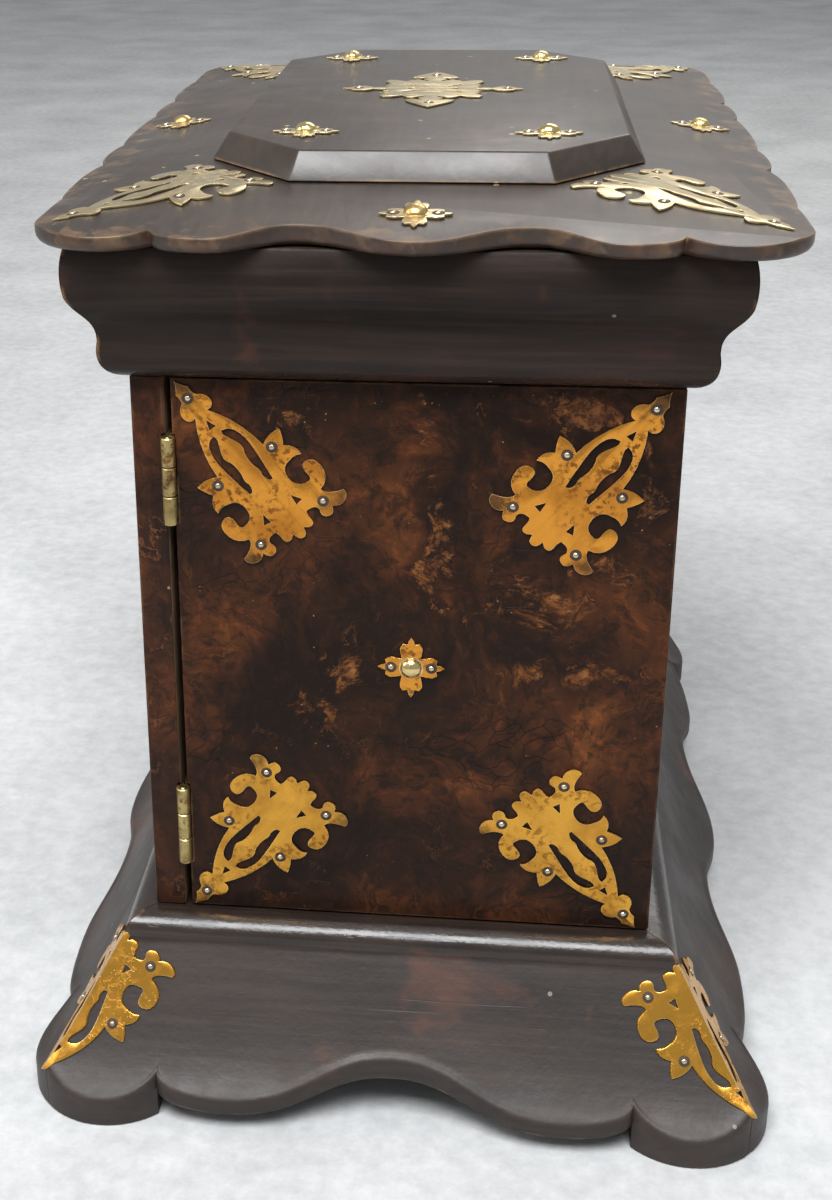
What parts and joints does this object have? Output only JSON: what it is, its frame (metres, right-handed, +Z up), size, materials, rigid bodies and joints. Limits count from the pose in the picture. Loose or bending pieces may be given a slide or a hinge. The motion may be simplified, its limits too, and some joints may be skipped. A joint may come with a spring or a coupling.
{
  "type": "vanity box",
  "caption": "Small deep cabinet with a hinged front door, flared scalloped base, ogee cornice, lift-off scalloped lid and pierced brass mounts.",
  "frame": {"origin": "middle of the footprint, on the surface the box stands on", "axes": "+X across the door to the right, +Y from the door to the back, +Z up"},
  "size_m": [0.2248, 0.3348, 0.2874],
  "materials": {
    "veneer": "dark reddish-brown mottled veneer, worn semi-gloss",
    "ebonised": "ebonised brown-black wood, satin",
    "lid_lacquer": "dark lacquered lid, worn tan at the rim",
    "plain_wood": "plain unpolished wood",
    "mount_brass": "aged golden brass with brown tarnish",
    "hinge_brass": "dull olive brass"
  },
  "bodies": {
    "cabinet": {"base_front": "ebonised", "base_right": "ebonised", "base_back": "ebonised", "base_left": "ebonised", "side_left": "veneer", "side_right": "veneer", "back": "veneer", "floor": "plain_wood", "cornice_front": "ebonised", "cornice_right": "ebonised", "cornice_back": "ebonised", "cornice_left": "ebonised", "hinge_lower_side_leaf": "hinge_brass", "hinge_lower_pin": "hinge_brass", "hinge_upper_side_leaf": "hinge_brass", "hinge_upper_pin": "hinge_brass", "lid_board": "lid_lacquer", "lid_panel": "lid_lacquer", "lid_mount_front_left": "mount_brass", "lid_mount_front_right": "mount_brass", "lid_mount_back_right": "mount_brass", "lid_mount_back_left": "mount_brass", "base_mount_front_right": "mount_brass", "base_mount_front_left": "mount_brass", "base_mount_back_right": "mount_brass", "base_mount_back_left": "mount_brass", "panel_boss_front_left": "mount_brass", "panel_boss_front_right": "mount_brass", "panel_boss_back_right": "mount_brass", "panel_boss_back_left": "mount_brass", "lid_boss_front": "mount_brass", "lid_boss_back": "mount_brass", "lid_boss_left": "mount_brass", "lid_boss_right": "mount_brass", "lid_cartouche": "mount_brass"},
    "door": {"door": "veneer", "hinge_lower_door_leaf": "hinge_brass", "hinge_upper_door_leaf": "hinge_brass", "door_mount_upper_left": "mount_brass", "door_mount_upper_right": "mount_brass", "door_mount_lower_left": "mount_brass", "door_mount_lower_right": "mount_brass", "door_boss": "mount_brass"}
  },
  "joints": [
    {"name": "door_hinge", "type": "hinge", "parent": "cabinet", "child": "door", "pos_m": [-0.06485, -0.1312, 0.141], "axis": [0, 0, -1], "range_deg": [0, 110]}
  ]
}
